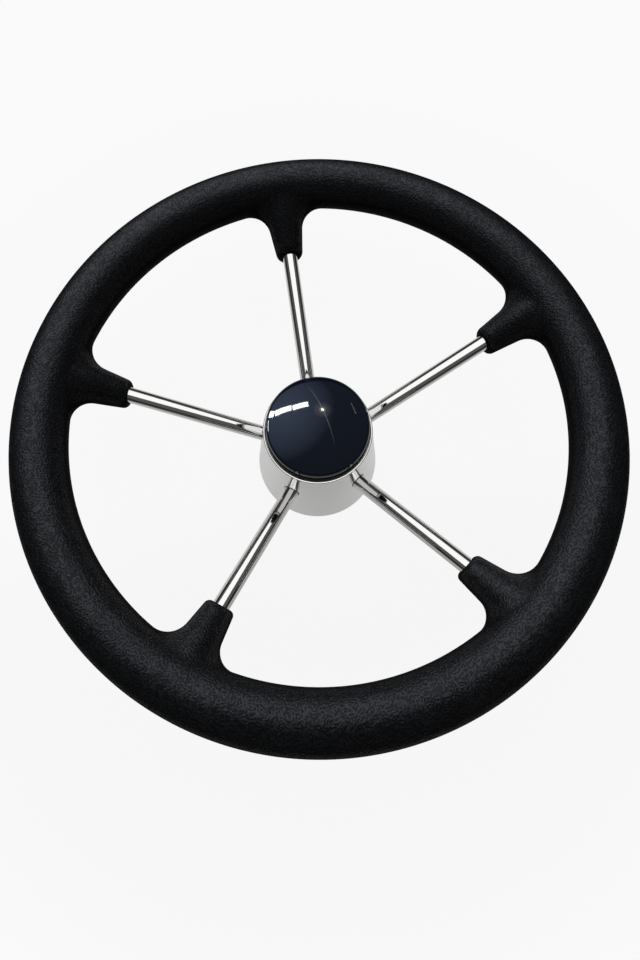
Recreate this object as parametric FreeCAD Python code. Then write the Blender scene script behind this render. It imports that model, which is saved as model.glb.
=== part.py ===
"""Boat steering wheel with five spokes and a moulded grip, dished towards the helmsman.

Sizes are in millimetres. The origin is the centre of the hub's back face, +Z runs along the helm
shaft towards the helmsman, and the first spoke points along +Y.
"""
import FreeCAD, Part
import math
import os
from FreeCAD import Vector

# Rim and grip
WHEEL_DIAMETER = 343.0
GRIP_THICKNESS = 31.0
RIM_HEIGHT = 104.5
CORE_DIAMETER = 16.0
CORE_WALL = 1.5

# Spokes
SPOKE_COUNT = 5
SPOKE_DIAMETER = 9.5
SPOKE_RISE = 26.5
FIRST_BEARING = 90.0
SOCKET_DEPTH = 6.0

# Lobes of the grip, each a sleeve over the outer end of a spoke
LOBE_LENGTH = 45.0
LOBE_END_DIAMETER = 16.5
LOBE_TAPER = 8.0
LOBE_BLEND = 13.0
LOBE_END_ROUND = 2.8

# Hub shell, a spun cone with a turned-in back edge and a rolled lip
HUB_HEIGHT = 72.0
HUB_BACK_DIAMETER = 82.5
HUB_FRONT_DIAMETER = 66.6
SHELL_WALL = 1.0
HEM_WIDTH = 6.0
HEM_ROUND = 2.0
LIP_HEIGHT = 1.8
LIP_PROUD = 0.3

# Hub boss, turned in one piece with its back flange
BOSS_DIAMETER = 38.0
BOSS_HEIGHT = 46.0
BOSS_CHAMFER = 1.5
PAD_DIAMETER = 34.0
FLANGE_THICKNESS = 4.0
FLANGE_BLEND = 5.0
WASHER_DIAMETER = 29.0
WASHER_RECESS = 2.5

# Bore for a standard tapered helm shaft
SHAFT_DIAMETER = 19.05
SHAFT_TAPER = 1.0 / 12.0
KEY_WIDTH = 4.76
KEY_DEPTH = 2.4
KEY_BEARING = 270.0
BORE_CHAMFER = 0.8

# Seat ring, the ledge under the cap
SEAT_THICKNESS = 2.5
SEAT_DROP = 1.0
SEAT_HOLE_DIAMETER = 50.0

# Centre cap
CAP_FLANGE_THICKNESS = 5.5
CAP_STEP = 0.5
CAP_SHOULDER = 4.0
CAP_CROWN_RADIUS = 60.0
CAP_SIDE_HEIGHT = 2.3
CAP_WALL = 2.0
CAP_FLANGE_ROUND = 0.3
LEG_COUNT = 4
LEG_WIDTH = 9.0
LEG_THICKNESS = 1.8
LEG_LENGTH = 8.0
LEG_BEAD = 0.8

# Clearances
WELD_GAP = 0.1
SHELL_HOLE_GAP = 0.5
CAP_GAP = 0.3

# Places worked out from the sizes
RIM_RADIUS = (WHEEL_DIAMETER - GRIP_THICKNESS) / 2
RISE = math.radians(SPOKE_RISE)
SPOKE_LENGTH = (RIM_RADIUS - BOSS_DIAMETER / 2) / math.cos(RISE) + SOCKET_DEPTH
SHELL_LEAN = math.atan((HUB_BACK_DIAMETER - HUB_FRONT_DIAMETER) / 2 / HUB_HEIGHT)
SHELL_WALL_ACROSS = SHELL_WALL / math.cos(SHELL_LEAN)
SEAT_TOP = HUB_HEIGHT - SEAT_DROP
CAP_FLANGE_TOP = SEAT_TOP + CAP_FLANGE_THICKNESS
CAP_FLANGE_RADIUS = HUB_FRONT_DIAMETER / 2 - SHELL_WALL_ACROSS - CAP_GAP
INWARDS = Vector(-math.cos(RISE), 0, -math.sin(RISE))
AXIS = Vector(0, 0, 1)


def turned(shape, angle):
    """Copy of a shape turned about the wheel's axis."""
    copy = shape.copy()
    copy.rotate(Vector(0, 0, 0), AXIS, angle)
    return copy


def revolved(edges):
    """Solid of a closed outline in the XZ plane, revolved about the wheel's axis."""
    face = Part.Face(Part.Wire(edges))
    return face.revolve(Vector(0, 0, 0), AXIS, 360)


def at(radius, height):
    """Point of an outline in the XZ plane."""
    return Vector(radius, 0, height)


def on_circle(centre, radius, angle):
    """Point of a circle in the XZ plane, at an angle in radians from the outward direction."""
    return centre + Vector(math.cos(angle), 0, math.sin(angle)) * radius


def outline(points):
    """Straight edges through a list of points, closed."""
    return Part.makePolygon(points + points[:1]).Edges


def shell_radius(height):
    """Outer radius of the hub's cone at a height."""
    return HUB_BACK_DIAMETER / 2 - height * math.tan(SHELL_LEAN)


def spoke_point(distance):
    """Point on the axis of a spoke at bearing 0, at a distance from the rim's centre line inwards."""
    return Vector(RIM_RADIUS, 0, RIM_HEIGHT) + INWARDS * distance


def spoke_distance(radius):
    """Distance along the spoke from the rim's centre line to a radius about the wheel's axis."""
    return (RIM_RADIUS - radius) / math.cos(RISE)


def spoke_cylinder(diameter, start, end):
    """Cylinder about the axis of a spoke at bearing 0, between two distances from the rim."""
    return Part.makeCylinder(diameter / 2, end - start, spoke_point(start), INWARDS)


def spoke_bearings():
    return [FIRST_BEARING + i * 360.0 / SPOKE_COUNT for i in range(SPOKE_COUNT)]


def each_spoke(shape):
    """The same shape at every spoke."""
    return [turned(shape, angle) for angle in spoke_bearings()]


def make_rim_core():
    """Tube bent to a circle and closed by a butt weld."""
    centre = Vector(0, 0, RIM_HEIGHT)
    tube = Part.makeTorus(RIM_RADIUS, CORE_DIAMETER / 2, centre, AXIS)
    hollow = Part.makeTorus(RIM_RADIUS, CORE_DIAMETER / 2 - CORE_WALL, centre, AXIS)
    return tube.cut(hollow)


def make_spoke():
    """Straight bar, coped to the rim's tube outside and seated in the boss inside."""
    bar = spoke_cylinder(SPOKE_DIAMETER, 0, SPOKE_LENGTH)
    coping = Part.makeTorus(RIM_RADIUS, CORE_DIAMETER / 2 + WELD_GAP, Vector(0, 0, RIM_HEIGHT), AXIS)
    return bar.cut(coping)


def make_foam_grip():
    """Grip moulded in one piece round the rim's tube and the outer ends of the spokes."""
    widest = LOBE_END_DIAMETER / 2 + LOBE_LENGTH * math.tan(math.radians(LOBE_TAPER))
    lobe = Part.makeCone(widest, LOBE_END_DIAMETER / 2, LOBE_LENGTH, spoke_point(0), INWARDS)
    centre = Vector(0, 0, RIM_HEIGHT)
    grip = Part.makeTorus(RIM_RADIUS, GRIP_THICKNESS / 2, centre, AXIS)
    grip = grip.fuse(each_spoke(lobe))
    grip = grip.makeFillet(LOBE_BLEND, edges_between(grip, Part.Toroid, Part.Cone))
    grip = grip.makeFillet(LOBE_END_ROUND, edges_between(grip, Part.Plane, Part.Cone))
    core = Part.makeTorus(RIM_RADIUS, CORE_DIAMETER / 2, centre, AXIS)
    channel = spoke_cylinder(SPOKE_DIAMETER, 0, LOBE_LENGTH + LOBE_END_ROUND)
    return grip.cut([core] + each_spoke(channel))


def edges_between(shape, first, second):
    """Edges where a face on one kind of surface meets a face on another."""
    found = []
    for edge in shape.Edges:
        kinds = [type(face.Surface) for face in shape.ancestorsOfType(edge, Part.Face)]
        if first in kinds and second in kinds:
            found.append(edge)
    return found


def make_hub_shell():
    """Sheet cone with its back edge turned in, a rolled lip in front and a hole for each spoke."""
    back = HUB_BACK_DIAMETER / 2
    front = shell_radius(HUB_HEIGHT)
    inner_front = front - SHELL_WALL_ACROSS
    hem_edge = back - HEM_WIDTH
    bead = LIP_HEIGHT / 2
    bead_centre = at(front + LIP_PROUD - bead, HUB_HEIGHT - bead)
    depth = (shell_radius(bead_centre.z) - bead_centre.x) * math.cos(SHELL_LEAN)
    bead_start = SHELL_LEAN - math.acos(depth / bead)
    bead_end = math.acos((inner_front - bead_centre.x) / bead)
    bead_angles = [bead_start, (bead_start + bead_end) / 2, bead_end]
    lip = Part.Arc(*[on_circle(bead_centre, bead, angle) for angle in bead_angles])
    sheet = [
        lip.EndPoint,
        at(shell_radius(SHELL_WALL) - SHELL_WALL_ACROSS, SHELL_WALL),
        at(hem_edge, SHELL_WALL),
        at(hem_edge, 0),
        at(back, 0),
        lip.StartPoint,
    ]
    shell = revolved(Part.makePolygon(sheet).Edges + [lip.toShape()])
    hem_corner = [edge for edge in shell.Edges if is_circle_at(edge, back, 0)]
    shell = shell.makeFillet(HEM_ROUND, hem_corner)
    hole_ends = [spoke_distance(radius) for radius in (back, BOSS_DIAMETER / 2)]
    hole = spoke_cylinder(SPOKE_DIAMETER + 2 * SHELL_HOLE_GAP, *hole_ends)
    return shell.cut(each_spoke(hole))


def is_circle_at(edge, radius, height):
    """True for a circle about the wheel's axis with this radius and height."""
    if edge.Degenerated:
        return False
    curve = edge.Curve
    return (isinstance(curve, Part.Circle) and abs(curve.Radius - radius) < 0.01
            and abs(curve.Center.z - height) < 0.01)


def make_hub_boss():
    """Boss and back flange, bored to a taper with a keyway, with a blind socket for each spoke."""
    flange_back = SHELL_WALL + WELD_GAP
    flange_front = flange_back + FLANGE_THICKNESS
    flange_edge = [shell_radius(z) - SHELL_WALL_ACROSS - WELD_GAP for z in (flange_back, flange_front)]
    radius = BOSS_DIAMETER / 2
    profile = [
        at(0, 0),
        at(PAD_DIAMETER / 2, 0),
        at(PAD_DIAMETER / 2, flange_back),
        at(flange_edge[0], flange_back),
        at(flange_edge[1], flange_front),
        at(radius, flange_front),
        at(radius, BOSS_HEIGHT - BOSS_CHAMFER),
        at(radius - BOSS_CHAMFER, BOSS_HEIGHT),
        at(0, BOSS_HEIGHT),
    ]
    boss = revolved(outline(profile))
    root = [edge for edge in boss.Edges if is_circle_at(edge, radius, flange_front)]
    boss = boss.makeFillet(FLANGE_BLEND, root)
    mouth = SHAFT_DIAMETER / 2
    bore_top = mouth - BOSS_HEIGHT * SHAFT_TAPER / 2
    bore = Part.makeCone(mouth, bore_top, BOSS_HEIGHT)
    entry = Part.makeCone(mouth + BORE_CHAMFER, mouth, BORE_CHAMFER)
    washer_seat = Part.makeCylinder(WASHER_DIAMETER / 2, WASHER_RECESS, at(0, BOSS_HEIGHT - WASHER_RECESS))
    socket_ends = [spoke_distance(BOSS_DIAMETER), SPOKE_LENGTH + WELD_GAP]
    socket = spoke_cylinder(SPOKE_DIAMETER + 2 * WELD_GAP, *socket_ends)
    for tool in [bore, entry, washer_seat, make_keyway()] + each_spoke(socket):
        boss = boss.cut(tool)
    return boss


def make_keyway():
    """Slot along the bore that follows its taper."""
    lean = math.atan(SHAFT_TAPER / 2)
    length = 2 * BOSS_HEIGHT
    depth = SHAFT_DIAMETER / 2 + KEY_DEPTH
    slot = Part.makeBox(depth, KEY_WIDTH, length, Vector(-depth, -KEY_WIDTH / 2, -length / 2))
    slot.rotate(Vector(0, 0, 0), Vector(0, 1, 0), -math.degrees(lean))
    slot.translate(Vector(SHAFT_DIAMETER / 2 + KEY_DEPTH, 0, 0))
    return turned(slot, KEY_BEARING)


def make_seat_ring():
    """Flat ring welded in the shell's mouth, which carries the cap and lets a socket reach the nut."""
    bottom = SEAT_TOP - SEAT_THICKNESS
    hole = SEAT_HOLE_DIAMETER / 2
    edge = [shell_radius(z) - SHELL_WALL_ACROSS - WELD_GAP for z in (bottom, SEAT_TOP)]
    corners = [at(hole, bottom), at(edge[0], bottom), at(edge[1], SEAT_TOP), at(hole, SEAT_TOP)]
    return revolved(outline(corners))


def crown_edges(radius, shoulder, crown, base):
    """Edges of a domed outline from its side at height base to its top, and the height of the top."""
    shoulder_centre = at(radius - shoulder, base)
    drop = math.sqrt((crown - shoulder) ** 2 - (radius - shoulder) ** 2)
    lean = math.atan2(drop, radius - shoulder)
    crown_centre = at(0, base - drop)
    top = crown_centre + Vector(0, 0, crown)
    side = Part.Arc(*[on_circle(shoulder_centre, shoulder, angle) for angle in (0, lean / 2, lean)])
    middle = on_circle(crown_centre, crown, (lean + math.pi / 2) / 2)
    dome = Part.Arc(side.EndPoint, middle, top)
    return [side.toShape(), dome.toShape()], top


def make_centre_cap():
    """Moulded cap with a thin dome, a flange that sits on the seat ring and sprung legs below."""
    side = CAP_FLANGE_RADIUS - CAP_STEP
    inner = side - CAP_WALL
    base = CAP_FLANGE_TOP + CAP_SIDE_HEIGHT
    outside, top = crown_edges(side, CAP_SHOULDER, CAP_CROWN_RADIUS, base)
    inside, hollow_top = crown_edges(inner, CAP_SHOULDER - CAP_WALL, CAP_CROWN_RADIUS - CAP_WALL, base)
    lower = [at(inner, base), at(inner, SEAT_TOP), at(CAP_FLANGE_RADIUS, SEAT_TOP)]
    lower += [at(CAP_FLANGE_RADIUS, CAP_FLANGE_TOP), at(side, CAP_FLANGE_TOP), at(side, base)]
    edges = Part.makePolygon(lower).Edges + outside + [Part.makeLine(top, hollow_top)] + inside
    cap = revolved(Part.__sortEdges__(edges))
    rim = [edge for edge in cap.Edges if is_circle_at(edge, CAP_FLANGE_RADIUS, CAP_FLANGE_TOP)]
    cap = cap.makeFillet(CAP_FLANGE_ROUND, rim)
    leg_bearings = [FIRST_BEARING + (i + 0.5) * 360.0 / LEG_COUNT for i in range(LEG_COUNT)]
    legs = [turned(make_leg(inner), angle) for angle in leg_bearings]
    return cap.fuse(legs).removeSplitter()


def make_leg(skirt):
    """Sprung leg through the seat ring's hole, with a rounded bead that grips the hole's edge."""
    outer = SEAT_HOLE_DIAMETER / 2 - CAP_GAP
    foot = SEAT_TOP - LEG_LENGTH
    face = outer - LEG_BEAD
    bead_half = 2 * LEG_BEAD
    bead_middle = SEAT_TOP - SEAT_THICKNESS - bead_half
    bead_ends = [at(face, bead_middle + side * bead_half) for side in (1, -1)]
    bead = Part.Arc(bead_ends[0], at(outer, bead_middle), bead_ends[1])
    inside = face - LEG_THICKNESS
    shelf = SEAT_TOP + CAP_WALL
    root = skirt + CAP_WALL / 2
    corners = [at(face, foot), at(inside, foot), at(inside, shelf)]
    corners += [at(root, shelf), at(root, SEAT_TOP), at(face, SEAT_TOP)]
    lines = Part.makePolygon([bead.EndPoint] + corners + [bead.StartPoint])
    leg = Part.Face(Part.Wire(lines.Edges + [bead.toShape()])).extrude(Vector(0, LEG_WIDTH, 0))
    leg.translate(Vector(0, -LEG_WIDTH / 2, 0))
    return leg


# Every piece in its own file
nodes = {
    "rim_core": make_rim_core(),
    "foam_grip": make_foam_grip(),
    "hub_shell": make_hub_shell(),
    "hub_boss": make_hub_boss(),
    "cap_seat_ring": make_seat_ring(),
    "centre_cap": make_centre_cap(),
}
for number, spoke in enumerate(each_spoke(make_spoke()), start=1):
    nodes[f"spoke_{number}"] = spoke

os.makedirs("parts", exist_ok=True)
for name, shape in nodes.items():
    shape.exportStep(f"parts/{name}.step")
    print(name, "valid", shape.isValid(), "solids", len(shape.Solids), "volume", round(shape.Volume))
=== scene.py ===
import math
from functools import partial

import bmesh
import bpy
import numpy as np
from bpy.props import FloatProperty, FloatVectorProperty, IntProperty, PointerProperty
from mathutils import Matrix, Vector


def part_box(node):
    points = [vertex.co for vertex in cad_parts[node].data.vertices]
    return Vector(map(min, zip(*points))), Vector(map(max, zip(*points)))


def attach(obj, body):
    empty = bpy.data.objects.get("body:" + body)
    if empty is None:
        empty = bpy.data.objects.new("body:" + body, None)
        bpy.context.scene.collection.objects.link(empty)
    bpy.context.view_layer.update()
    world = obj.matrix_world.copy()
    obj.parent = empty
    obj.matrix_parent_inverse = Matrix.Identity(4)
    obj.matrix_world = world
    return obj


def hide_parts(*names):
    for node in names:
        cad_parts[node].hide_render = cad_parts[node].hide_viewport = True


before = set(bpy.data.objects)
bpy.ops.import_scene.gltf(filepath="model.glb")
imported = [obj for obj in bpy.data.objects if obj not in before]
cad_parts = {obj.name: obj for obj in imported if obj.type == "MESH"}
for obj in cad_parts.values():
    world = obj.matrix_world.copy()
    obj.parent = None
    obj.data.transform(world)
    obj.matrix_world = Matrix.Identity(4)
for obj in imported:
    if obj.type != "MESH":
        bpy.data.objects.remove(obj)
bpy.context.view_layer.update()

bl_info = {
    "name": "Boat steering wheel",
    "version": (1, 0, 0),
    "blender": (4, 5, 0),
    "location": "View3D > Sidebar > Wheel",
    "description": "Dresses the frame of a five-spoke boat steering wheel",
    "category": "Object",
}

MM = 0.001
SPOKE_COUNT = 5
FIRST_BEARING = 90.0
RISE_ROUNDS = 20

# Sizes read from the frame, in metres
CORE_LOW, CORE_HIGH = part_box("rim_core")
CORE_RADIUS = (CORE_HIGH.z - CORE_LOW.z) / 2
RIM_RADIUS = (CORE_HIGH.x - CORE_LOW.x) / 2 - CORE_RADIUS
RIM_HEIGHT = (CORE_LOW.z + CORE_HIGH.z) / 2
GRIP_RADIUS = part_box("foam_grip")[1].z - RIM_HEIGHT
SPOKE_LOW, SPOKE_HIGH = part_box("spoke_1")
SPOKE_RADIUS = (SPOKE_HIGH.x - SPOKE_LOW.x) / 2
SHELL_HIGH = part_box("hub_shell")[1]
SEAT_LOW, SEAT_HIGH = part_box("cap_seat_ring")
CAP_LOW, CAP_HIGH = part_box("centre_cap")


def spoke_rise():
    """Slope of the spokes, from the lowest and innermost points of the first one.

    The bar's axis meets the rim's centre line, and its inner end stands off those two points by the
    bar's radius times the slope's cosine and sine.
    """
    rise = 0.0
    for _ in range(RISE_ROUNDS):
        drop = RIM_HEIGHT - SPOKE_LOW.z - SPOKE_RADIUS * math.cos(rise)
        run = RIM_RADIUS - SPOKE_LOW.y - SPOKE_RADIUS * math.sin(rise)
        rise = math.atan2(drop, run)
    return rise, math.hypot(drop, run)


SPOKE_RISE, SPOKE_LENGTH = spoke_rise()
SPOKE_START = np.array([RIM_RADIUS, 0.0, RIM_HEIGHT])
SPOKE_AXIS = np.array([-math.cos(SPOKE_RISE), 0.0, -math.sin(SPOKE_RISE)])
SPOKE_UP = np.array([-math.sin(SPOKE_RISE), 0.0, math.cos(SPOKE_RISE)])
BEARINGS = [math.radians(FIRST_BEARING + i * 360.0 / SPOKE_COUNT) for i in range(SPOKE_COUNT)]


# Settings that a user can change

Length = partial(FloatProperty, min=0.0, unit="LENGTH")
Angle = partial(FloatProperty, subtype="ANGLE")
Share = partial(FloatProperty, min=0.0, max=1.0, subtype="FACTOR")
Brightness = partial(FloatProperty, min=0.0)
Colour = partial(FloatVectorProperty, min=0.0, max=1.0, subtype="COLOR")


class GripSettings(bpy.types.PropertyGroup):
    lobe_length: Length(
        name="Lobe length", description="From the rim's centre line to a lobe's end face", default=45 * MM)
    end_diameter: Length(
        name="Lobe end", description="Diameter of a lobe at its end face", default=16.5 * MM)
    taper: Angle(
        name="Lobe taper", description="Angle between a lobe's side and its spoke", default=math.radians(8))
    blend: Length(
        name="Blend", description="Radius of the hollow between a lobe and the rim", default=13 * MM)
    end_round: Length(
        name="End rounding", description="Radius of a lobe's end corner", default=2.8 * MM)
    end_tilt: Angle(
        name="End tilt", description="Angle by which a lobe's end face leans back at its top",
        default=math.radians(25))
    colour: Colour(
        name="Colour", description="Colour of the moulded foam", default=(0.0038, 0.0045, 0.0055))
    roughness: Share(
        name="Roughness", description="Roughness of the moulded skin on its ridges", default=0.42)
    grain_size: Length(
        name="Grain size", description="Usual distance from one ridge to the next", default=1.35 * MM)
    grain_depth: Length(
        name="Grain depth", description="Height of the ridges over the creases", default=0.3 * MM)


class SteelSettings(bpy.types.PropertyGroup):
    colour: Colour(
        name="Colour", description="Colour that the polished steel reflects", default=(0.76, 0.755, 0.745))
    roughness: Share(
        name="Roughness", description="Roughness of the polished bars", default=0.07)
    turned_colour: Colour(
        name="Turned steel", description="Colour that the machined steel inside the hub reflects",
        default=(0.56, 0.55, 0.53))
    turned_roughness: Share(
        name="Turned roughness", description="Roughness of the machined steel", default=0.32)


class HubSettings(bpy.types.PropertyGroup):
    back_diameter: Length(
        name="Back diameter", description="Diameter of the cone at its back face", default=82.5 * MM)
    front_diameter: Length(
        name="Front diameter", description="Diameter of the cone at its mouth", default=66.6 * MM)
    wall: Length(
        name="Wall", description="Thickness of the spun sheet", default=1.0 * MM)
    lip_height: Length(
        name="Lip height", description="Height of the rolled lip round the mouth", default=1.8 * MM)
    lip_proud: Length(
        name="Lip proud", description="How far the lip stands out from the cone", default=0.3 * MM)
    hem_width: Length(
        name="Hem width", description="Width of the turned-in back edge", default=6.0 * MM)
    hem_round: Length(
        name="Hem rounding", description="Radius of the corner between the cone and its back edge",
        default=2.0 * MM)
    spoke_gap: Length(
        name="Spoke gap", description="Space round a spoke where it enters the cone", default=0.5 * MM)


class CapSettings(bpy.types.PropertyGroup):
    flange_height: Length(
        name="Flange height", description="Height of the flange above its seat", default=5.5 * MM)
    step: Length(
        name="Step", description="How far the dome's side stands in from the flange", default=0.5 * MM)
    side_height: Length(
        name="Side height", description="Height of the dome's upright side above the flange",
        default=2.3 * MM)
    shoulder: Length(
        name="Shoulder", description="Radius between the dome's side and its crown", default=4.0 * MM)
    wall: Length(
        name="Wall", description="Thickness of the moulding", default=2.0 * MM)
    edge_round: Length(
        name="Edge rounding", description="Radius of the flange's edges", default=0.3 * MM)
    leg_count: IntProperty(
        name="Legs", description="Number of sprung legs", default=4, min=1)
    leg_width: Length(
        name="Leg width", description="Width of a leg", default=9.0 * MM)
    leg_thickness: Length(
        name="Leg thickness", description="Thickness of a leg", default=1.8 * MM)
    leg_bead: Length(
        name="Leg bead", description="How far a leg's bead stands out", default=0.8 * MM)
    leg_radius: Length(
        name="Leg radius", description="Distance of the legs' beads from the wheel's axis", default=24.7 * MM)
    colour: Colour(
        name="Colour", description="Colour of the glossy plastic", default=(0.0045, 0.0072, 0.015))
    roughness: Share(
        name="Roughness", description="Roughness of the glossy plastic", default=0.05)


class StageSettings(bpy.types.PropertyGroup):
    floor_colour: Colour(
        name="Floor", description="Colour of the floor", default=(0.8, 0.8, 0.8))
    floor_reach: Length(
        name="Floor reach", description="Distance from the wheel's axis at which the floor turns dark",
        default=0.28)
    room: Brightness(
        name="Room", description="Brightness of the dark room round the wheel", default=0.1)
    softbox: Brightness(
        name="Softbox", description="Brightness of the wide soft light over the wheel", default=1.17)
    softbox_spread: Angle(
        name="Softbox spread", description="Angle from the middle of the soft light to its edge",
        default=math.radians(50))
    skylight: Brightness(
        name="Skylight", description="Brightness of the broad light that the grip mirrors", default=1.21)
    window: Brightness(
        name="Window", description="Brightness of the window panes", default=35.0)
    spot: Brightness(
        name="Spot", description="Brightness of the small round lamp", default=90.0)
    strip: Brightness(
        name="Strip", description="Brightness of the thin strip lamps", default=3.0)
    glow: Brightness(
        name="Glow", description="Brightness of the wide blue glow", default=1.35)


# Shader maths

class Value:
    """A socket that takes Python's operators. Each operator adds a Math node."""

    def __init__(self, nodes, socket):
        self.nodes = nodes
        self.socket = socket

    def __add__(self, other):
        return self.nodes.math("ADD", self, other)

    def __sub__(self, other):
        return self.nodes.math("SUBTRACT", self, other)

    def __rsub__(self, other):
        return self.nodes.math("SUBTRACT", other, self)

    def __mul__(self, other):
        return self.nodes.math("MULTIPLY", self, other)

    def __pow__(self, other):
        return self.nodes.math("POWER", self, other)

    __radd__ = __add__
    __rmul__ = __mul__


class Nodes:
    """The node tree of one material or world."""

    def __init__(self, tree):
        self.tree = tree
        tree.nodes.clear()

    def add(self, kind, settings=None, inputs=(), output=0):
        """Adds a node. Settings come first, then its sockets' values or links, by place or by name."""
        node = self.tree.nodes.new(kind)
        for name, value in (settings or {}).items():
            setattr(node, name, value)
        pairs = inputs.items() if isinstance(inputs, dict) else enumerate(inputs)
        for key, value in pairs:
            if isinstance(value, Value):
                self.tree.links.new(value.socket, node.inputs[key])
            else:
                node.inputs[key].default_value = value
        return Value(self, node.outputs[output]) if node.outputs else node

    def math(self, operation, first, second):
        """A Math node on two numbers."""
        return self.add("ShaderNodeMath", {"operation": operation}, [first, second])

    def mix(self, factor, first, second):
        """Colour between two colours."""
        return self.add("ShaderNodeMix", {"data_type": "RGBA"}, {0: factor, 6: first, 7: second}, 2)

    def smooth(self, value, low, high):
        """A smooth step from 0 where a value is low to 1 where it is high."""
        return self.add("ShaderNodeMapRange", {"interpolation_type": "SMOOTHSTEP"}, {
            "Value": value, "From Min": low, "From Max": high})

    def place(self, scale=(1.0, 1.0, 1.0)):
        """Object coordinates times a scale."""
        place = self.add("ShaderNodeTexCoord", output=3)
        return self.add("ShaderNodeMapping", inputs={"Vector": place, "Scale": scale})

    def part(self, vector, axis):
        """A vector's x, y or z, for axis 0, 1 or 2."""
        return self.add("ShaderNodeSeparateXYZ", inputs=[vector], output=axis)

    def noise(self, place, scale, detail):
        """Noise from 0 to 1 with a mean of 0.5."""
        return self.add("ShaderNodeTexNoise", inputs={"Vector": place, "Scale": scale, "Detail": detail})

    def surface(self, values):
        """A Principled shader with these values."""
        return self.add("ShaderNodeBsdfPrincipled", inputs=values)

    def output(self, shader, kind="Material"):
        """Makes a shader the result of the tree."""
        self.add(f"ShaderNodeOutput{kind}", inputs={"Surface": shader})


def rgba(colour, share=1.0):
    """A share of a colour, with its alpha at 1."""
    return (*(share * part for part in colour), 1.0)


def new_material(name):
    """An empty material and its nodes."""
    material = bpy.data.materials.new(name)
    material.use_nodes = True
    return material, Nodes(material.node_tree)


GRAIN_WAVES = 2.0  # waves in each of the short bursts that make up the grain
RIDGE = (0.4, 0.64)  # heights at which a ridge starts and is full
UPPER = (0.15, 0.7)  # how far up the skin faces where its sheen starts and is full; below that it turns to painted shade
CREASE_SHEEN = 0.4  # share of the sheen in creases, with 1 on a ridge; the rest is painted shade


def grip_material(settings):
    """Moulded foam skin: winding leather-like ridges with a satin sheen, and creases between them painted
    darker and matt as shade.

    The ridges are short waves in all directions. The sheen is (c + (1 - c) * ridge) * upper side *
    (1 - low angle^4), with c for creases. The rest is a darker, matt copy of the skin, painted shade:
    in the creases, at a low angle, where the ridges hide each other, and on the underside.
    """
    material, nodes = new_material("grip_skin")
    place = nodes.place()
    waves = nodes.add("ShaderNodeTexGabor", {"gabor_type": "3D"}, {
        "Vector": place, "Scale": 1 / (GRAIN_WAVES * settings.grain_size), "Frequency": GRAIN_WAVES,
        "Anisotropy": 0.0})
    patches = nodes.noise(place, scale=0.15 / settings.grain_size, detail=2.0)
    height = waves + (patches - 0.5) * 0.15
    bump = nodes.add("ShaderNodeBump", inputs={
        "Strength": 1.0, "Distance": settings.grain_depth, "Height": height})
    ridge = nodes.smooth(height, *RIDGE)
    upper = nodes.smooth(nodes.part(nodes.add("ShaderNodeTexCoord", output=1), 2), *UPPER)
    skin = nodes.surface({
        "Base Color": nodes.mix(patches, rgba(settings.colour, 0.8), rgba(settings.colour, 1.2)),
        "Roughness": settings.roughness + (patches - 0.5) * 0.1, "Normal": bump})
    # Painted shade: a darker and matt copy of the skin, for the creases, low angles and the underside
    shaded_crease = nodes.surface({
        "Base Color": rgba(settings.colour, 0.3), "Roughness": 0.8, "Specular IOR Level": 0.05,
        "Normal": bump})
    low_angle = nodes.add("ShaderNodeLayerWeight", inputs={"Blend": 0.5}, output=1)
    # The skin's share of the mix; the rest is painted shade
    sheen = (CREASE_SHEEN + (1 - CREASE_SHEEN) * ridge) * upper * (1 - low_angle ** 4)
    nodes.output(nodes.add("ShaderNodeMixShader", inputs={0: sheen, 1: shaded_crease, 2: skin}))
    return material


def polished_material(settings):
    """Mirror-polished stainless steel with faint buffing marks."""
    material, nodes = new_material("polished_steel")
    marks = nodes.noise(nodes.place((1.0, 1.0, 4.0)), scale=400.0, detail=3.0)
    nodes.output(nodes.surface({
        "Base Color": rgba(settings.colour), "Metallic": 1.0,
        "Roughness": settings.roughness + (marks - 0.5) * 0.03}))
    return material


def turned_material(settings):
    """Machined stainless steel with fine tool rings."""
    material, nodes = new_material("turned_steel")
    rings = nodes.noise(nodes.place((0.2, 0.2, 8.0)), scale=500.0, detail=2.0)
    bump = nodes.add("ShaderNodeBump", inputs={"Strength": 0.3, "Distance": 0.05 * MM, "Height": rings})
    nodes.output(nodes.surface({
        "Base Color": rgba(settings.turned_colour), "Metallic": 1.0,
        "Roughness": settings.turned_roughness + (rings - 0.5) * 0.1, "Normal": bump}))
    return material


GLOSS_START, GLOSS_FULL = 1.8 * MM, 2.6 * MM  # heights over the flange


def cap_material(settings):
    """Moulded plastic, high-gloss on the dome, and darker and matt on the flange, the foot of the dome's side
    and the legs.
    """
    material, nodes = new_material("cap_gloss")
    place = nodes.place()
    haze = nodes.noise(place, scale=60.0, detail=3.0)
    dome = nodes.surface({
        "Base Color": rgba(settings.colour),
        "Roughness": settings.roughness + (haze - 0.5) * 0.02})
    flange = nodes.surface({
        "Base Color": rgba(settings.colour, 0.3), "Specular IOR Level": 0.1,
        "Roughness": 0.7 + (haze - 0.5) * 0.1})
    flange_top = SEAT_HIGH.z + settings.flange_height
    polished = nodes.smooth(nodes.part(place, 2), flange_top + GLOSS_START, flange_top + GLOSS_FULL)
    nodes.output(nodes.add("ShaderNodeMixShader", inputs={0: polished, 1: flange, 2: dome}))
    return material


# Meshes. A grid is an array of points or of vertex numbers, and a profile is an array of (radius,
# distance) points.

MERGE_DISTANCE = 0.002 * MM
SHARP_ANGLE = math.radians(35)


def smoothstep(share):
    """3 s^2 - 2 s^3 of a share s, which is kept between 0 and 1."""
    share = np.clip(share, 0, 1)
    return share * share * (3 - 2 * share)


def grid_numbers(grid, first=0):
    """Vertex numbers of a grid of points, row by row from the first."""
    return first + np.arange(grid[..., 0].size).reshape(grid.shape[:2])


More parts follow.
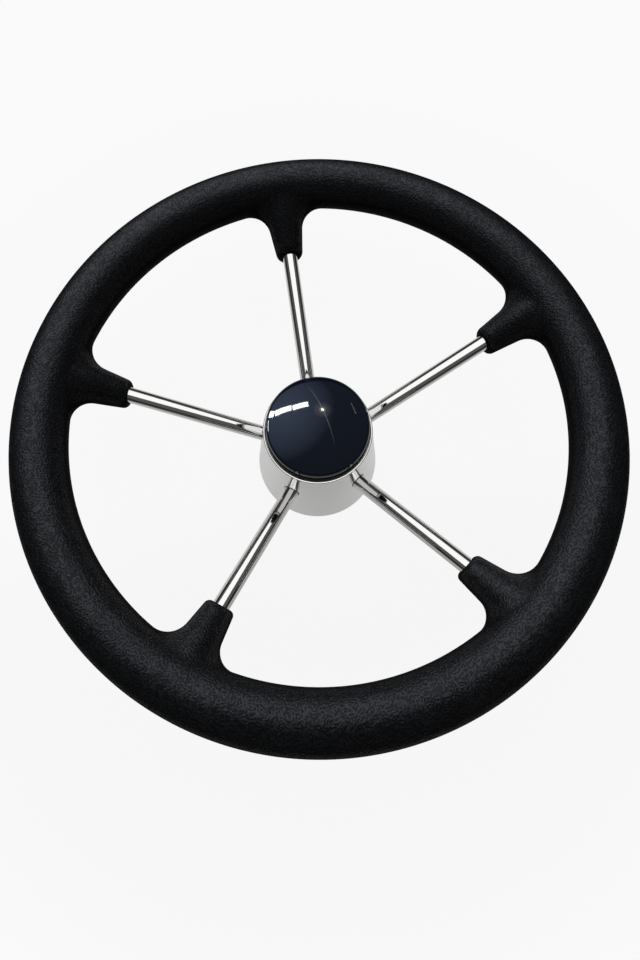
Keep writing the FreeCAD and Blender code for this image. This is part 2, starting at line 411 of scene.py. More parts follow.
def grid_faces(numbers, wrap_rows=False, wrap_columns=False):
    """Quads between neighbouring rows and columns of a grid."""
    if wrap_rows:
        numbers = np.concatenate([numbers, numbers[:1]])
    if wrap_columns:
        numbers = np.concatenate([numbers, numbers[:, :1]], axis=1)
    return np.stack([numbers[:-1, :-1], numbers[1:, :-1], numbers[1:, 1:], numbers[:-1, 1:]], axis=-1)


def rectangle_steps(half_rows, half_columns):
    """Steps from a grid place to each place on a rectangle round it, once round."""
    rows = np.arange(-half_rows, half_rows)
    columns = np.arange(-half_columns, half_columns)
    last_row = np.full(2 * half_columns, half_rows)
    last_column = np.full(2 * half_rows, half_columns)
    return (np.concatenate([rows, last_row, -rows, -last_row]),
            np.concatenate([-last_column, columns, last_column, -columns]))


def line(start, end, count):
    """Profile points start * (1 - s) + end * s for even shares s, without the end."""
    share = np.arange(count)[:, None] / count
    return np.array(start) * (1 - share) + np.array(end) * share


def arc(centre, radius, first, last, count):
    """Profile points centre + radius * (cos a, sin a) for even angles a in radians, without the last."""
    angle = first + (last - first) * np.arange(count) / count
    return np.array(centre) + radius * np.stack([np.cos(angle), np.sin(angle)], axis=-1)


def turn(points, angle):
    """Points turned about the wheel's axis: (x cos a - y sin a, x sin a + y cos a, z)."""
    c, s = math.cos(angle), math.sin(angle)
    return points @ np.array([[c, s, 0.0], [-s, c, 0.0], [0.0, 0.0, 1.0]])


def revolve(profile, count):
    """Grid of a profile's points (r, z) turned about the wheel's axis: (r cos a, r sin a, z)."""
    angle = 2 * math.pi * np.arange(count) / count
    radius, height = profile[:, :1], profile[:, 1:]
    return np.stack([radius * np.cos(angle), radius * np.sin(angle), height + 0 * angle], axis=-1)


def spread(profile, count):
    """Radius and distance of each profile point, repeated along a row."""
    return np.repeat(profile[:, :1], count, axis=1), np.repeat(profile[:, 1:], count, axis=1)


def spoke_frame(radius, distance, angle):
    """Points at a radius and an angle round the axis of a spoke at bearing 0, and a distance down it.

    point = start + distance * axis + radius * (cos(angle) * sideways + sin(angle) * upwards)
    """
    sideways = np.array([0.0, 1.0, 0.0])
    out = np.cos(angle)[..., None] * sideways + np.sin(angle)[..., None] * SPOKE_UP
    return SPOKE_START + distance[..., None] * SPOKE_AXIS + radius[..., None] * out


def spoke_coordinates(points):
    """Radius, distance and angle of points in the frame of a spoke at bearing 0."""
    offset = points - SPOKE_START
    distance = offset @ SPOKE_AXIS
    across = offset - distance[..., None] * SPOKE_AXIS
    return np.linalg.norm(across, axis=-1), distance, np.arctan2(across @ SPOKE_UP, across[..., 1])


def add_object(name, data):
    """Object in the scene that holds this data."""
    thing = bpy.data.objects.new(name, data)
    bpy.context.scene.collection.objects.link(thing)
    return thing


def add_piece(name, points, faces, material, body, nodes, sharp=SHARP_ANGLE):
    """Object of a closed surface, with coinciding points merged and its faces turned outwards."""
    mesh = bpy.data.meshes.new(name)
    corners = []
    for part in faces:
        corners += part.reshape(-1, part.shape[-1]).tolist()
    mesh.from_pydata(np.concatenate([part.reshape(-1, 3) for part in points]).tolist(), [], corners)
    shape = bmesh.new()
    shape.from_mesh(mesh)
    bmesh.ops.remove_doubles(shape, verts=shape.verts, dist=MERGE_DISTANCE)
    bmesh.ops.recalc_face_normals(shape, faces=shape.faces)
    shape.to_mesh(mesh)
    shape.free()
    mesh.shade_smooth()
    mesh.set_sharp_from_angle(angle=sharp)
    mesh.materials.append(material)
    piece = add_object(name, mesh)
    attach(piece, body)
    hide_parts(*nodes)
    return piece


# Grip

SECTOR = 96  # rows in a fifth of the ring
GRIP_COLUMNS = 48
LOBE_WINDOW = (14, 9)  # rows and columns from its middle to its edge
GRIP_SHARP_ANGLE = math.radians(80)
BALL_ROUNDS = 25
BALL_PACE = 0.8
LEAST_SPAN = 0.05  # keeps a step short where ring and lobe run side by side
SKIN_ROUNDS = 4
TINY = 1e-9
LEAN_PIVOT = 2.5 * MM  # height over the bar's axis at which a leaning end keeps its place
CURVE_ROWS = 17
CONE_START = 0.68  # share of the lobe's length
PLUG_INSET = 0.1 * MM  # how far a lobe's closed end reaches into the bar
PLUG_DEPTH = 2 * MM


def torus_field(points):
    """Distance from the grip's ring, which is hypot(hypot(x, y) - R, z - Z) - r, and its gradient."""
    radius = np.hypot(points[:, 0], points[:, 1])
    across = np.stack([radius - RIM_RADIUS, points[:, 2] - RIM_HEIGHT], axis=-1)
    size = np.linalg.norm(across, axis=-1)
    across = across / size[:, None]
    gradient = np.column_stack([points[:, :2] / radius[:, None] * across[:, :1], across[:, 1]])
    return size - GRIP_RADIUS, gradient


def lobe_field(points, settings):
    """Distance from a lobe at bearing 0, a cone with a rounded end, and its gradient.

    With a = distance outside the cone's side and b = distance past its end, both plus the rounding e,
    the distance is hypot(max(a, 0), max(b, 0)) + min(max(a, b), 0) - e. Behind the rim's centre line
    there is no lobe, so the distance there is a metre.
    """
    radius, distance, _ = spoke_coordinates(points)
    across = points - SPOKE_START - distance[:, None] * SPOKE_AXIS
    outwards = across / np.maximum(radius, TINY)[:, None]
    e = settings.end_round
    a = (radius - lobe_radius(distance, settings)) * math.cos(settings.taper) + e
    b = distance - settings.lobe_length + e
    side_gradient = math.cos(settings.taper) * outwards + math.sin(settings.taper) * SPOKE_AXIS
    end_gradient = np.broadcast_to(SPOKE_AXIS, points.shape)
    rounded = np.hypot(np.maximum(a, 0), np.maximum(b, 0))
    value = rounded + np.minimum(np.maximum(a, b), 0) - e
    corner = np.maximum(a, 0)[:, None] * side_gradient + np.maximum(b, 0)[:, None] * end_gradient
    corner = corner / np.maximum(rounded, TINY)[:, None]
    flat = np.where((a > b)[:, None], side_gradient, end_gradient)
    return np.where(distance < 0, 1.0, value), np.where((rounded > 0)[:, None], corner, flat)


def lobe_radius(distance, settings):
    """Radius of a lobe's cone, which is its end radius + (length - distance) * tan(taper)."""
    return settings.end_diameter / 2 + (settings.lobe_length - distance) * math.tan(settings.taper)


def onto_grip(points, settings):
    """Points moved onto the skin of the ring and one lobe, with a hollow rolled by a ball between them.

    The ball's centre is the place near a point that lies one ball radius from both the ring and the
    lobe. Each round moves it along both gradients, by what would bring both distances there if the
    surfaces were flat, and then along their common edge to beside the point. A point in the wedge
    between the ball's two contacts goes to the ball's surface, and any other point to the nearer of
    ring and lobe.
    """
    shape = points.shape
    points = points.reshape(-1, 3).copy()
    ball = settings.blend
    centre = points.copy()
    for _ in range(BALL_ROUNDS):
        ring, ring_out = torus_field(centre)
        lobe, lobe_out = lobe_field(centre, settings)
        together = (ring_out * lobe_out).sum(-1)
        span = np.maximum(1 - together ** 2, LEAST_SPAN)
        along_ring = ((ball - ring) - together * (ball - lobe)) / span
        along_lobe = ((ball - lobe) - together * (ball - ring)) / span
        centre += BALL_PACE * (along_ring[:, None] * ring_out + along_lobe[:, None] * lobe_out)
        edge = np.cross(ring_out, lobe_out)
        edge /= np.maximum(np.linalg.norm(edge, axis=-1), TINY)[:, None]
        centre += BALL_PACE * ((points - centre) * edge).sum(-1)[:, None] * edge
    back = points - centre
    ring_share = -(back * ring_out).sum(-1)
    lobe_share = -(back * lobe_out).sum(-1)
    on_ring = ring_share - together * lobe_share
    on_lobe = lobe_share - together * ring_share
    ring, _ = torus_field(points)
    lobe, _ = lobe_field(points, settings)
    hollow = (on_ring > 0) & (on_lobe > 0) & (ring < ball) & (lobe < ball)
    rolled = centre + back / np.linalg.norm(back, axis=-1)[:, None] * ball
    near = points
    for _ in range(SKIN_ROUNDS):
        ring, ring_out = torus_field(near)
        lobe, lobe_out = lobe_field(near, settings)
        nearer = (ring < lobe)[:, None]
        near = near - np.where(nearer, ring[:, None] * ring_out, lobe[:, None] * lobe_out)
    return np.where(hollow[:, None], rolled, near).reshape(shape)


def ring_sector(settings):
    """One fifth of the ring, with the lobe's bearing in its middle row.

    x, y, z = ((R + r cos v) cos u, (R + r cos v) sin u, Z + r sin v), moved onto the skin.
    """
    u = np.radians(360 / SPOKE_COUNT) * (np.arange(SECTOR) / SECTOR - 0.5)[:, None]
    v = math.pi + SPOKE_RISE + 2 * math.pi * np.arange(GRIP_COLUMNS)[None, :] / GRIP_COLUMNS
    reach = RIM_RADIUS + GRIP_RADIUS * np.cos(v)
    height = RIM_HEIGHT + GRIP_RADIUS * np.sin(v)
    ring = np.stack([reach * np.cos(u), reach * np.sin(u), height + 0 * u], axis=-1)
    return onto_grip(ring, settings)


def lean_end(points, settings):
    """Points of a lobe moved along its spoke, so that its end leans back at its top.

    The move is tan(tilt) * (pivot - height) times a share that grows from 0 at half the lobe's length
    to 1 at its end.
    """
    radius, distance, angle = spoke_coordinates(points)
    share = smoothstep(2 * distance / settings.lobe_length - 1)
    move = math.tan(settings.end_tilt) * (LEAN_PIVOT - radius * np.sin(angle)) * share
    return points + move[..., None] * SPOKE_AXIS


def lobe_sleeve(edge, settings):
    """Skin of a lobe from the edge of its window in the ring to its end, then closed inside the bar.

    Each column starts at an edge point and runs at an angle that eases into even spacing. Its rows
    follow the curve (1 - t)^2 edge + 2 t (1 - t) bend + t^2 start into the cone, where the bend lies on
    the cone beside the edge, and then the cone, the end's rounding and the end face.
    """
    radius, distance, angle = spoke_coordinates(edge)
    count = len(edge)
    angle = np.unwrap(angle)
    even = math.copysign(2 * math.pi, angle[-1] - angle[0]) * np.arange(count) / count
    even += (angle - even).mean()
    length, e = settings.lobe_length, settings.end_round
    end = settings.end_diameter / 2
    start = CONE_START * length
    start_radius = lobe_radius(start, settings)
    t = np.linspace(0, 1, CURVE_ROWS + 1)[1:, None]
    first, second, third = (1 - t) ** 2, 2 * t * (1 - t), t ** 2
    curve_radius = first * radius + second * lobe_radius(distance, settings) + third * start_radius
    curve_distance = first * distance + second * distance + third * start
    hole = SPOKE_RADIUS - PLUG_INSET
    profile = [line((start_radius, start), (lobe_radius(length - e, settings), length - e), 8)[1:],
               arc((end - e, length - e), e, 0, math.pi / 2, 7),
               line((end - e, length), (hole, length), 4)]
    cone_radii, cone_distances = spread(np.concatenate(profile), count)
    rows_radius = np.concatenate([curve_radius, cone_radii])
    rows_distance = np.concatenate([curve_distance, cone_distances])
    ease = smoothstep(np.arange(1, len(rows_radius) + 1) / CURVE_ROWS)[:, None]
    angles = angle * (1 - ease) + even * ease
    skin = onto_grip(spoke_frame(rows_radius, rows_distance, angles), settings)
    plug = np.array([[hole, length], [hole, length - PLUG_DEPTH], [0.0, length - PLUG_DEPTH]])
    inner = spoke_frame(*spread(plug, count), np.repeat(even[None, :], len(plug), axis=0))
    return lean_end(np.concatenate([skin, inner]), settings)


class WHEEL_OT_grip(bpy.types.Operator):
    """Build the grip, a moulded ring with a blended lobe over the end of each spoke"""
    bl_idname = "wheel.grip"
    bl_label = "Build the grip"

    def execute(self, context):
        settings = context.scene.wheel_grip
        sector = ring_sector(settings)
        ring = np.concatenate([turn(sector, bearing) for bearing in BEARINGS])
        numbers = grid_numbers(ring)
        faces = grid_faces(numbers, wrap_rows=True, wrap_columns=True)
        half_rows, half_columns = LOBE_WINDOW
        row_steps, column_steps = rectangle_steps(half_rows, half_columns)
        middle = SECTOR // 2
        sleeve = lobe_sleeve(sector[middle + row_steps, column_steps], settings)
        points, parts, first = [ring], [], numbers.size
        inside_rows = np.arange(-half_rows, half_rows)
        inside_columns = np.arange(-half_columns, half_columns)
        keep = np.ones(faces.shape[:2], bool)
        for i, bearing in enumerate(BEARINGS):
            at = i * SECTOR + middle
            keep[np.ix_(at + inside_rows, inside_columns)] = False
            edge = numbers[at + row_steps, column_steps]
            rows = grid_numbers(sleeve, first)
            first += rows.size
            points.append(turn(sleeve, bearing))
            parts.append(grid_faces(np.concatenate([edge[None, :], rows]), wrap_columns=True))
        grip = add_piece("grip", points, [faces[keep], *parts], grip_material(settings),
                         "wheel", ["foam_grip"], GRIP_SHARP_ANGLE)
        return {"FINISHED"}


# Spokes

BAR_CHAMFER = 0.4 * MM
BAR_GAP = 0.5 * MM  # between a bar's outer end and the tube in the rim
BAR_SIDES = 72


def spoke_profile():
    """Half outline of a bar, from the middle of its outer end to the middle of its inner end."""
    start, end = CORE_RADIUS + BAR_GAP, SPOKE_LENGTH
    neck = SPOKE_RADIUS - BAR_CHAMFER
    rows = [line((0, start), (neck, start), 2),
            line((neck, start), (SPOKE_RADIUS, start + BAR_CHAMFER), 1),
            line((SPOKE_RADIUS, start + BAR_CHAMFER), (SPOKE_RADIUS, end - BAR_CHAMFER), 8),
            line((SPOKE_RADIUS, end - BAR_CHAMFER), (neck, end), 1),
            line((neck, end), (0, end), 2),
            [(0.0, end)]]
    return np.concatenate(rows)


class WHEEL_OT_spokes(bpy.types.Operator):
    """Build the polished bars that join the rim to the hub"""
    bl_idname = "wheel.spokes"
    bl_label = "Build the spokes"

    def execute(self, context):
        material = polished_material(context.scene.wheel_steel)
        radius, distance = spread(spoke_profile(), BAR_SIDES)
        angle = np.radians(np.arange(BAR_SIDES) * (360 / BAR_SIDES))
        bar = spoke_frame(radius, distance, angle + 0 * radius)
        faces = grid_faces(grid_numbers(bar), wrap_columns=True)
        for i, bearing in enumerate(BEARINGS, start=1):
            add_piece(f"spoke_bar_{i}", [turn(bar, bearing)], [faces], material,
                      "wheel", [f"spoke_{i}"])
        return {"FINISHED"}


# Hub

HUB_SIDES = 240
HOLE_WINDOW = (8, 6)  # columns and rows from its middle to its edge
CONE_ROWS = 48
LIP_ROWS = 16
HOLE_ROWS = 5
HOLE_ROUNDS = 30


def cone_radius(height, settings, inset=0.0):
    """Radius of the hub's cone at a height, or of a cone a distance inside it.

    It is the back radius - height * lean - inset * hypot(1, lean).
    """
    lean = (settings.back_diameter - settings.front_diameter) / 2 / SHELL_HIGH.z
    return settings.back_diameter / 2 - height * lean - inset * math.hypot(1, lean)


def shell_profile(settings):
    """Closed outline of the hub's sheet, and the rows where its outer and inner cones start.

    The lip is an arc of radius b. It starts on the cone, which passes its centre at a distance d, so
    at the cone's angle - acos(d / b), and ends above the inner cone's edge.
    """
    height, wall = SHELL_HIGH.z, settings.wall
    lean = math.atan((settings.back_diameter - settings.front_diameter) / 2 / height)
    hem = settings.hem_round
    hem_centre = (cone_radius(hem, settings, hem), hem)
    hem_edge = settings.back_diameter / 2 - settings.hem_width
    bead = settings.lip_height / 2
    bead_centre = (cone_radius(height, settings) + settings.lip_proud - bead, height - bead)
    depth = (cone_radius(bead_centre[1], settings) - bead_centre[0]) * math.cos(lean)
    bead_start = lean - math.acos(depth / bead)
    bead_end = math.acos((cone_radius(height, settings, wall) - bead_centre[0]) / bead)
    outer_start = arc(hem_centre, hem, lean, lean, 1)[0]
    outer_end = arc(bead_centre, bead, bead_start, bead_start, 1)[0]
    inner_start = arc(bead_centre, bead, bead_end, bead_end, 1)[0]
    inner_end = (cone_radius(wall, settings, wall), wall)
    parts = [line(outer_start, outer_end, CONE_ROWS),
             arc(bead_centre, bead, bead_start, bead_end, LIP_ROWS),
             line(inner_start, inner_end, CONE_ROWS),
             line(inner_end, (hem_edge, wall), 4),
             line((hem_edge, wall), (hem_edge, 0), 2),
             line((hem_edge, 0), (hem_centre[0], 0), 4),
             arc(hem_centre, hem, -math.pi / 2, lean, 10)]
    return np.concatenate(parts), 0, CONE_ROWS + LIP_ROWS


def hole_edge(angle, inset, settings):
    """Bearing and height where lines along a spoke's hole meet the hub's cone or the one inside it.

    Each line lies at the hole's radius and an angle round the spoke's axis. Its distance down the
    spoke grows by hypot(x, y) - the cone's radius until that is nothing.
    """
    radius = SPOKE_RADIUS + settings.spoke_gap
    distance = np.full_like(angle, (RIM_RADIUS - SHELL_HIGH.x) / math.cos(SPOKE_RISE))
    for _ in range(HOLE_ROUNDS):
        point = spoke_frame(np.full_like(angle, radius), distance, angle)
        distance = distance + np.hypot(point[:, 0], point[:, 1]) - cone_radius(point[:, 2], settings, inset)
    return np.arctan2(point[:, 1], point[:, 0]), point[:, 2]


def cone_points(bearing, height, inset, settings):
    """Points (r cos b, r sin b, z) at bearings b and heights z, with r the cone's radius at z."""
    radius = cone_radius(height, settings, inset)
    return np.stack([radius * np.cos(bearing), radius * np.sin(bearing), height], axis=-1)


class WHEEL_OT_hub(bpy.types.Operator):
    """Build the hub's spun cone with its rolled lip and a hole for each spoke"""
    bl_idname = "wheel.hub"
    bl_label = "Build the hub"

    def execute(self, context):
        settings = context.scene.wheel_hub
        profile, outer, inner = shell_profile(settings)
        grid = revolve(profile, HUB_SIDES)
        numbers = grid_numbers(grid)
        faces = grid_faces(numbers, wrap_rows=True, wrap_columns=True)
        keep = np.ones(faces.shape[:2], bool)
        points, parts, first = [grid], [], numbers.size
        half_columns, half_rows = HOLE_WINDOW
        column_steps, row_steps = rectangle_steps(half_columns, half_rows)
        middle_height = hole_edge(np.zeros(1), 0.0, settings)[1][0]
        share = (np.arange(1, HOLE_ROWS + 1) / HOLE_ROWS)[:, None]
        for bearing in BEARINGS:
            column = round(bearing / (2 * math.pi) * HUB_SIDES)
            rings = []
            for start, inset, flip in ((outer, 0.0, 1), (inner, settings.wall, -1)):
                rows = profile[start:start + CONE_ROWS, 1]
                middle = start + int(np.argmin(abs(rows - middle_height)))
                row_numbers = middle + flip * row_steps
                column_numbers = (column + column_steps) % HUB_SIDES
                rows_inside = middle + np.arange(-half_rows, half_rows)
                columns_inside = (column + np.arange(-half_columns, half_columns)) % HUB_SIDES
                keep[np.ix_(rows_inside, columns_inside)] = False
                edge_bearing = column_steps * 2 * math.pi / HUB_SIDES
                edge_height = profile[row_numbers, 1]
                start_points = cone_points(edge_bearing, edge_height, inset, settings)
                angle = spoke_coordinates(start_points)[2]
                hole_bearing, hole_height = hole_edge(angle, inset, settings)
                sleeve = cone_points(edge_bearing * (1 - share) + hole_bearing * share,
                                     edge_height * (1 - share) + hole_height * share, inset, settings)
                sleeve_numbers = grid_numbers(sleeve, first)
                first += sleeve_numbers.size
                points.append(turn(sleeve, bearing))
                rows = [numbers[row_numbers, column_numbers][None, :], sleeve_numbers]
                parts.append(grid_faces(np.concatenate(rows), wrap_columns=True))
                rings.append(sleeve_numbers[-1])
            parts.append(grid_faces(np.stack(rings), wrap_columns=True))
        add_piece("hub_cone", points, [faces[keep], *parts], polished_material(context.scene.wheel_steel),
                  "wheel", ["hub_shell"])
        return {"FINISHED"}


# Cap

CAP_SIDES = 192


def cap_profile(settings):
    """Half outline of the cap's dome, flange and hollow, from the top's middle to the hollow's middle.

    The crown is an arc about the axis that runs into the shoulder's arc. With m from the axis to the
    shoulder's centre, s the shoulder's radius and h the rise above its centre, the crown's radius is
    (m^2 + h^2 - s^2) / (2 (h - s)).
    """
    flange = CAP_HIGH.x
    side = flange - settings.step
    flange_top = SEAT_HIGH.z + settings.flange_height
    base = flange_top + settings.side_height
    shoulder, wall = settings.shoulder, settings.wall
    middle, rise = side - shoulder, CAP_HIGH.z - base
    crown = (middle ** 2 + rise ** 2 - shoulder ** 2) / (2 * (rise - shoulder))
    crown_centre = (0.0, CAP_HIGH.z - crown)
    lean = math.atan2(base - crown_centre[1], middle)
    edge = settings.edge_round
    seat = SEAT_HIGH.z
    parts = [arc(crown_centre, crown, math.pi / 2, lean, 40),
             arc((middle, base), shoulder, lean, 0, 24),
             line((side, base), (side, flange_top), 6),
             line((side, flange_top), (flange - edge, flange_top), 2),
             arc((flange - edge, flange_top - edge), edge, math.pi / 2, 0, 6),
             line((flange, flange_top - edge), (flange, seat + edge), 6),
             arc((flange - edge, seat + edge), edge, 0, -math.pi / 2, 4),
             line((flange - edge, seat), (side - wall, seat), 3),
             line((side - wall, seat), (side - wall, base), 6),
             arc((middle, base), shoulder - wall, 0, lean, 12),
             arc(crown_centre, crown - wall, lean, math.pi / 2, 24),
             [(0.0, CAP_HIGH.z - wall)]]
    return np.concatenate(parts), side - wall


def leg_outline(root, settings):
    """Closed outline of a sprung leg, in radius and height: a face with a bead, a shelf and a root.

    The bead is an arc that stands out by b over a face h long each way, so its radius is
    (b^2 + h^2) / (2 b).
    """
    outer = settings.leg_radius
    bead, thick = settings.leg_bead, settings.leg_thickness
    face, seat = outer - bead, SEAT_HIGH.z
    half = 2 * bead
    middle = SEAT_LOW.z - half
    reach = (bead ** 2 + half ** 2) / (2 * bead)
    lean = math.asin(half / reach)
    inside, shelf = face - thick, seat + settings.wall
    edge = root + settings.wall / 2
    corners = [(face, middle - half), (face, CAP_LOW.z), (inside, CAP_LOW.z), (inside, shelf),
               (edge, shelf), (edge, seat), (face, seat)]
    return np.concatenate([arc((outer - reach, middle), reach, lean, -lean, 10), corners])


class WHEEL_OT_cap(bpy.types.Operator):
    """Build the domed centre cap with its flange and the sprung legs below it"""
    bl_idname = "wheel.cap"
    bl_label = "Build the cap"

    def execute(self, context):
        settings = context.scene.wheel_cap
        profile, hollow = cap_profile(settings)
        dome = revolve(profile, CAP_SIDES)
        faces = [grid_faces(grid_numbers(dome), wrap_columns=True)]
        outline = leg_outline(hollow, settings)
        half = settings.leg_width / 2
        leg = np.stack([np.column_stack([outline[:, 0], np.full(len(outline), side), outline[:, 1]])
                        for side in (-half, half)])
        points, first = [dome], dome[..., 0].size
        for i in range(settings.leg_count):
            bearing = math.radians(FIRST_BEARING + (i + 0.5) * 360 / settings.leg_count)
            numbers = grid_numbers(leg, first)
            first += numbers.size
            points.append(turn(leg, bearing))
            faces += [grid_faces(numbers, wrap_columns=True), numbers[:1], numbers[1:]]
        add_piece("cap", points, faces, cap_material(settings), "cap", ["centre_cap"])
        return {"FINISHED"}


# Frame's own pieces

class WHEEL_OT_frame_pieces(bpy.types.Operator):
    """Give the frame's own pieces their finish"""
    bl_idname = "wheel.frame_pieces"
    bl_label = "Finish the frame's pieces"

    def execute(self, context):
        turned = turned_material(context.scene.wheel_steel)
        for node in ("rim_core", "hub_boss", "cap_seat_ring"):
            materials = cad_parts[node].data.materials
            materials.clear()
            materials.append(turned)
        return {"FINISHED"}


# Camera and stage. The viewpoint is found from the wheel's outline in the picture. A direction is an
# azimuth, counted from +X towards +Y, and an elevation. All angles are in degrees.

CAMERA_AIM = Vector((-1.0, 22.1, 104.5)) * MM
CAMERA_DISTANCE = 381.7 * MM
CAMERA_DIRECTION = (-97.94, 68.78)
CAMERA_ROLL = -1.0
CAMERA_LENS = 24.85
CAMERA_SHIFT = (0.0102, -0.1074)

FLOOR_HALF = 4.0
FLOOR_FADE = 0.25  # half the width of its edge, as a share of its reach
FLOOR_FRONT = (-75 * MM, -10 * MM)  # from where it is in shade to where it isn't, along y
FRONT_SHADE = 0.78
FAR_FLOOR = (0.05, 0.05, 0.05, 1.0)
SEEN_WHITE = 0.95  # white that the camera sees on the floor and in the room
SEEN_FLOOR = 0.07  # share of it near the wheel that gives way to the lit floor
MIRRORED_WHITE = 0.35  # white that is mirrored near the wheel, half of it in the shade

LAMP_AIM = Vector((0, 0, CAP_HIGH.z))
LAMP_DISTANCE = 3.0
WHITE = (1.0, 1.0, 1.0)
WARM = (1.0, 0.88, 0.8)
COOL = (0.96, 1.0, 1.12)
BLUE = (0.48, 0.65, 1.0)
SOFTBOX = (90, 75)
SKYLIGHT, SKYLIGHT_ACROSS = (105, 50), 80
FRONT, FRONT_SIZE = (-90, 42), (110, 50)
FRONT_SHARE = 0.6  # of the softbox's brightness

# Lamps that only the cap mirrors: direction, size and roll, and for a strip its spread
WINDOW_PANES = (((109.2, 46.8), (17.2, 6.5), -19.0), ((130.8, 35.6), (19.2, 6.7), -44.4),
                ((142.3, 17.0), (21.8, 6.8), -76.5), ((155.0, 13.0), (12.0, 20.0), 0.0))
STRIPS = (((66.9, 59.9), (85.0, 0.7), -54.8, 90.0), ((32.3, 32.3), (13.0, 0.7), -19.4, 180.0))
SPOT, SPOT_ACROSS = (70.9, 57.9), 2.4
SPOT_HALOS = ((10, 0.07), (22, 0.015))  # width and share of the spot's brightness
GLOW, GLOW_ACROSS = (133.0, 42.0), 110


def put(thing, aim, direction, distance, roll):
    """Puts a camera or lamp at a distance from its aim, turned to it and then rolled.

    It lies from the aim in the direction (cos e cos a, cos e sin a, sin e), for azimuth a, elevation e.
    """
    azimuth, elevation = np.radians(direction)
    flat = math.cos(elevation)
    way = Vector((flat * math.cos(azimuth), flat * math.sin(azimuth), math.sin(elevation)))
    turned = way.to_track_quat("Z", "Y").to_matrix() @ Matrix.Rotation(math.radians(roll), 3, "Z")
    thing.matrix_world = Matrix.Translation(aim + distance * way) @ turned.to_4x4()


def make_camera():
    """Camera that sees the wheel as the picture does."""
    camera = add_object("camera", bpy.data.cameras.new("camera"))
    put(camera, CAMERA_AIM, CAMERA_DIRECTION, CAMERA_DISTANCE, CAMERA_ROLL)
    camera.data.lens = CAMERA_LENS
    camera.data.shift_x, camera.data.shift_y = CAMERA_SHIFT
    bpy.context.scene.camera = camera


def make_floor(settings):
    """Pale floor that turns dark at its reach, but stays white to the camera.

    It is painted a little darker in front of the wheel, as a shadow falling there.
    """
    mesh = bpy.data.meshes.new("floor")
    corners = [(x * FLOOR_HALF, y * FLOOR_HALF, 0) for x, y in ((-1, -1), (1, -1), (1, 1), (-1, 1))]
    mesh.from_pydata(corners, [], [(0, 1, 2, 3)])
    floor = add_object("floor", mesh)
    material, nodes = new_material("floor")
    place = nodes.place()
    distance = nodes.add("ShaderNodeVectorMath", {"operation": "LENGTH"}, [place], 1)
    reach, fade = settings.floor_reach, FLOOR_FADE * settings.floor_reach
    near = nodes.smooth(distance, reach + fade, reach - fade)
    # Painted shadow in front of the wheel
    open_floor = nodes.smooth(nodes.part(place, 1), *FLOOR_FRONT)
    pale = nodes.mix(open_floor, rgba(settings.floor_colour, FRONT_SHADE), rgba(settings.floor_colour))
    matt = nodes.surface({
        "Base Color": nodes.mix(near, FAR_FLOOR, pale), "Roughness": 0.9, "Specular IOR Level": 0.0})
    white = nodes.add("ShaderNodeEmission", inputs={"Color": rgba(WHITE), "Strength": 1.0})
    seen = nodes.add("ShaderNodeLightPath", output=0)
    mirrored = nodes.add("ShaderNodeLightPath", output=3)
    glowing = (seen * (SEEN_WHITE - near * SEEN_FLOOR)
               + mirrored * near * (0.5 + 0.5 * open_floor) * MIRRORED_WHITE)
    nodes.output(nodes.add("ShaderNodeMixShader", inputs={0: glowing, 1: matt, 2: white}))
    mesh.materials.append(material)


def make_lamp(name, direction, size, radiance, roll=0.0, colour=WHITE, spread=180.0):
    """Far lamp turned to the hub, never seen by the camera.

    Its size is a width and a height, or one number for a round lamp. Each is the angle that it takes
    up, so it measures 2 * distance * tan(angle / 2).

    A lamp's radiance is its power / (pi * area). With a spread it fades from the middle outwards, and
    with h for half the spread the power is (1 - h / tan(h)) of that.
    """
    lamp = bpy.data.lights.new(name, "AREA")
    is_round = not isinstance(size, tuple)
    lamp.shape = "ELLIPSE" if is_round else "RECTANGLE"
    width, height = (size, size) if is_round else size
    lamp.size = 2 * LAMP_DISTANCE * math.tan(math.radians(width) / 2)
    lamp.size_y = 2 * LAMP_DISTANCE * math.tan(math.radians(height) / 2)
    area = lamp.size * lamp.size_y * (math.pi / 4 if is_round else 1.0)
    lamp.energy = radiance * math.pi * area
    if spread < 180:
        half = math.radians(spread) / 2
        lamp.spread = 2 * half
        lamp.energy *= 1 - half / math.tan(half)
    lamp.color = colour
    lamp_object = add_object(name, lamp)
    put(lamp_object, LAMP_AIM, direction, LAMP_DISTANCE, roll)
    lamp_object.visible_camera = False
    return lamp_object


def link_lamp(lamp, pieces, state):
    """Lets a lamp light only some pieces, or every piece but those."""
    reached = bpy.data.collections.new(f"{lamp.name}_{state}")
    for piece in pieces:
        reached.objects.link(piece)
    for member in reached.collection_objects:
        member.light_linking.link_state = state
    lamp.light_linking.receiver_collection = reached


def make_softbox(settings, cap, grip, hub):
    """Wide round light over the wheel, a broad one behind it for the grip and one in front for the hub.

    The glossy cap is lit by the wide light, but doesn't mirror it.
    """
    across = 2 * math.degrees(settings.softbox_spread)
    link_lamp(make_lamp("softbox", SOFTBOX, across, settings.softbox), [cap, grip], "EXCLUDE")
    cap_fill = make_lamp("cap_fill", SOFTBOX, across, settings.softbox)
    link_lamp(cap_fill, [cap], "INCLUDE")
    cap_fill.visible_glossy = False
    skylight = make_lamp("skylight", SKYLIGHT, SKYLIGHT_ACROSS, settings.skylight, colour=COOL)
    link_lamp(skylight, [grip], "INCLUDE")
    link_lamp(make_lamp("front", FRONT, FRONT_SIZE, FRONT_SHARE * settings.softbox), [hub], "INCLUDE")


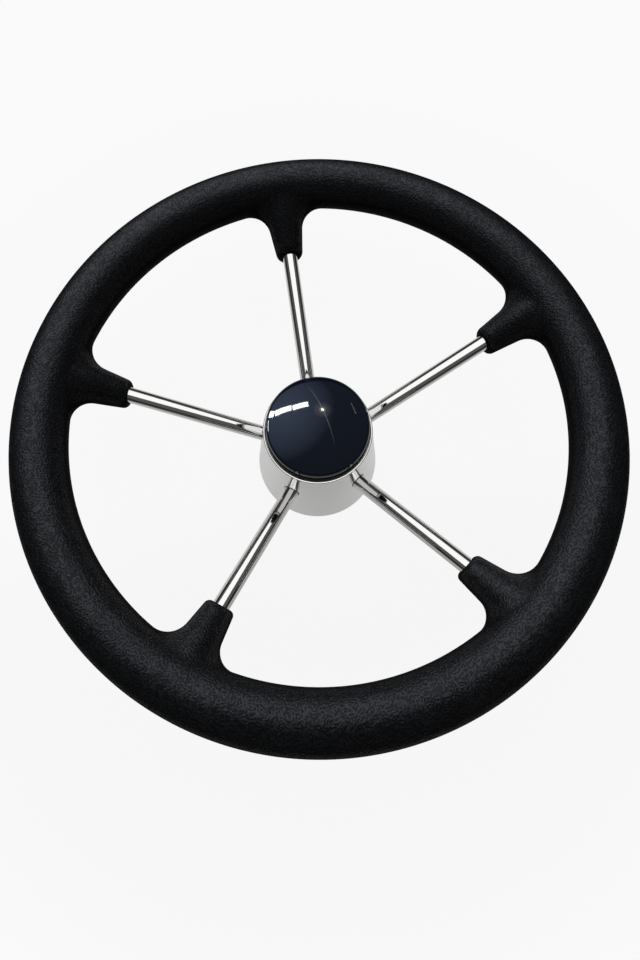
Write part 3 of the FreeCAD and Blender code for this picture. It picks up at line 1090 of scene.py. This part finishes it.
def make_cap_lights(settings, cap):
    """Window panes, a small lamp, thin strips and a blue glow that show only in the glossy cap."""
    lamps = [make_lamp("window", direction, size, settings.window, roll)
             for direction, size, roll in WINDOW_PANES]
    lamps += [make_lamp("strip", direction, size, settings.strip, roll, spread=spread)
              for direction, size, roll, spread in STRIPS]
    lamps.append(make_lamp("spot", SPOT, SPOT_ACROSS, settings.spot))
    lamps += [make_lamp("spot_glow", SPOT, across, share * settings.spot, colour=WARM, spread=across)
              for across, share in SPOT_HALOS]
    lamps.append(make_lamp("glow", GLOW, GLOW_ACROSS, settings.glow, colour=BLUE, spread=GLOW_ACROSS))
    for lamp in lamps:
        link_lamp(lamp, [cap], "INCLUDE")
        lamp.visible_diffuse = False


def make_room(settings):
    """White to the camera, and a dark room to the wheel: room * (1 - seen) + seen * white."""
    world = bpy.data.worlds.new("room")
    world.use_nodes = True
    nodes = Nodes(world.node_tree)
    seen = nodes.add("ShaderNodeLightPath", output=0)
    nodes.output(nodes.add("ShaderNodeBackground", inputs={
        "Color": rgba(WHITE), "Strength": settings.room * (1 - seen) + seen * SEEN_WHITE}), "World")
    bpy.context.scene.world = world


class WHEEL_OT_stage(bpy.types.Operator):
    """Add the floor, the lamps, the room's light and the camera"""
    bl_idname = "wheel.stage"
    bl_label = "Set the stage"

    def execute(self, context):
        settings = context.scene.wheel_stage
        make_floor(settings)
        make_room(settings)
        cap, grip, hub = (bpy.data.objects[name] for name in ("cap", "grip", "hub_cone"))
        make_softbox(settings, cap, grip, hub)
        make_cap_lights(settings, cap)
        context.scene.view_settings.view_transform = "Standard"
        make_camera()
        return {"FINISHED"}


class WHEEL_PT_panel(bpy.types.Panel):
    """Sizes, colours and steps of the wheel"""
    bl_idname = "WHEEL_PT_panel"
    bl_label = "Boat steering wheel"
    bl_space_type = "VIEW_3D"
    bl_region_type = "UI"
    bl_category = "Wheel"

    def draw(self, context):
        for group, kind in GROUPS.items():
            for name in kind.__annotations__:
                self.layout.prop(getattr(context.scene, group), name)
        for operator in STEPS:
            self.layout.operator(operator.bl_idname)


GROUPS = {"wheel_grip": GripSettings, "wheel_steel": SteelSettings, "wheel_hub": HubSettings,
          "wheel_cap": CapSettings, "wheel_stage": StageSettings}
STEPS = [WHEEL_OT_grip, WHEEL_OT_spokes, WHEEL_OT_hub, WHEEL_OT_cap, WHEEL_OT_frame_pieces, WHEEL_OT_stage]


def register():
    for kind in [*GROUPS.values(), *STEPS, WHEEL_PT_panel]:
        bpy.utils.register_class(kind)
    for name, kind in GROUPS.items():
        setattr(bpy.types.Scene, name, PointerProperty(type=kind))


def unregister():
    for name in GROUPS:
        delattr(bpy.types.Scene, name)
    for kind in [WHEEL_PT_panel, *reversed(STEPS), *GROUPS.values()]:
        bpy.utils.unregister_class(kind)


def main():
    register()
    bpy.ops.wheel.grip()
    bpy.ops.wheel.spokes()
    bpy.ops.wheel.hub()
    bpy.ops.wheel.cap()
    bpy.ops.wheel.frame_pieces()
    bpy.ops.wheel.stage()


if __name__ == "__main__":
    main()
